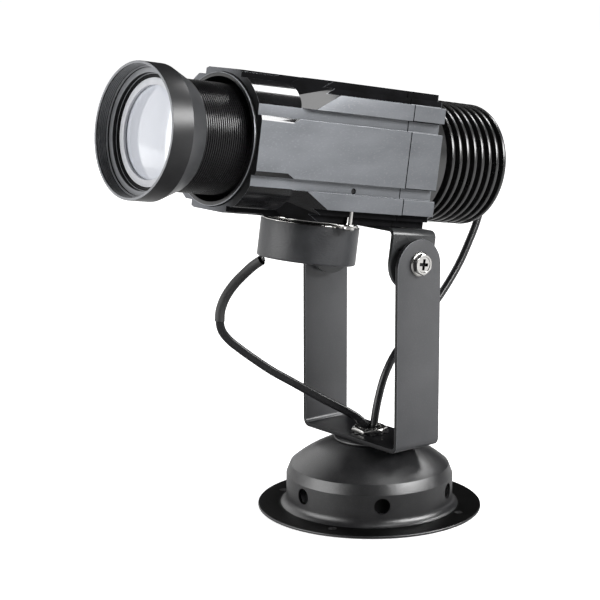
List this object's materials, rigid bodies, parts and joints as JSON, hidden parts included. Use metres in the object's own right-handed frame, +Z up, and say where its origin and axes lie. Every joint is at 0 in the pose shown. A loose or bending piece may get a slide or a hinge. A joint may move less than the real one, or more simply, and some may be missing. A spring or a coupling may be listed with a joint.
{
  "type": "gobo projector",
  "caption": "Motorised gobo projector: square-bodied spotlight head with focusing lens tube, round-finned heat sink and gobo motor, tilting in a grey yoke that pans on a round canopy.",
  "frame": {"origin": "middle of the canopy's underside, on the pan axis", "axes": "+Z up along the pan axis; the beam leaves towards -Y; +X is the near arm of the yoke"},
  "size_m": [0.12, 0.2344, 0.2446],
  "materials": {
    "black_powder_coat": "satin, finely speckled",
    "grey_paint": "satin",
    "housing_paint": "fine-grained satin",
    "black_anodised": "glossy",
    "nickel_plate": "polished",
    "zinc_steel": "satin",
    "black_plastic": "satin",
    "white_plastic": "satin",
    "lens_glass": "polished",
    "gear_brass": "satin",
    "lamp_phosphor": "satin",
    "lead_rubber": "satin"
  },
  "bodies": {
    "base": {"canopy_shell": "black_powder_coat", "closing_dish": "zinc_steel", "led_driver": "black_plastic", "driver_screw_front": "zinc_steel", "driver_screw_back": "zinc_steel", "threaded_stem": "nickel_plate", "stem_lower_nut": "zinc_steel", "stem_top_nut": "nickel_plate", "pan_friction_disc": "black_powder_coat", "stem_lock_washer": "black_plastic"},
    "yoke": {"yoke_bracket": "grey_paint", "motor_lead_sleeve": "lead_rubber", "motor_lead": "lead_rubber", "lamp_lead": "lead_rubber"},
    "head": {"pivot_screw_near": "nickel_plate", "pivot_screw_far": "nickel_plate", "pivot_spacer_near": "black_plastic", "pivot_spacer_far": "black_plastic", "pivot_nut_near": "nickel_plate", "pivot_nut_far": "nickel_plate", "ear_bracket": "black_powder_coat", "ear_screw_near": "nickel_plate", "ear_screw_far": "nickel_plate", "front_housing": "housing_paint", "rear_housing": "housing_paint", "lens_sleeve": "black_anodised", "joining_sleeve": "black_anodised", "sleeve_grub_screw": "zinc_steel", "front_lens_guide": "black_plastic", "rear_lens_guide": "black_plastic", "heat_sink": "black_anodised", "lamp_lead_gland": "black_plastic", "led_board": "zinc_steel", "led_emitter": "lamp_phosphor", "condenser_lens": "lens_glass", "condenser_holder": "black_anodised", "motor_can": "nickel_plate", "motor_cover": "black_plastic", "motor_tab_plate": "nickel_plate", "tab_screw_near": "nickel_plate", "tab_screw_far": "nickel_plate", "motor_lead_grommet": "black_plastic", "gear_bearing_ring": "gear_brass"},
    "lens": {"lens_barrel": "black_anodised", "lens_hood": "black_anodised", "front_lens": "lens_glass", "front_lens_ring": "black_anodised", "rear_lens": "lens_glass", "rear_lens_ring": "black_anodised"},
    "rotor": {"crown_gear": "white_plastic", "gear_retaining_clip": "zinc_steel", "gobo_disc": "zinc_steel", "gobo_ring": "black_anodised"},
    "pinion": {"motor_shaft": "zinc_steel", "drive_pinion": "gear_brass"}
  },
  "joints": [
    {"name": "pan", "type": "hinge", "parent": "base", "child": "yoke", "pos_m": [0, 0, 0.04], "axis": [0, 0, 1], "range_deg": [-170, 170]},
    {"name": "tilt", "type": "hinge", "parent": "yoke", "child": "head", "pos_m": [0, 0, 0.13701], "axis": [1, 0, 0], "range_deg": [-60, 53], "deforming": ["motor_lead_sleeve", "motor_lead", "lamp_lead"]},
    {"name": "focus", "type": "slide", "parent": "head", "child": "lens", "axis": [0, -0.9883, 0.1523], "range_m": [-0.01, 0.008]},
    {"name": "gobo_spin", "type": "hinge", "parent": "head", "child": "rotor", "pos_m": [0, 0.00788, 0.18813], "axis": [0, 0.9883, -0.1523], "continuous": true},
    {"name": "motor_spin", "type": "hinge", "parent": "head", "child": "pinion", "pos_m": [0, -0.0404, 0.15914], "axis": [0, 0.1523, 0.9883], "continuous": true}
  ],
  "couplings": [
    {"joint": "motor_spin", "follows": "gobo_spin", "ratio": 6}
  ]
}
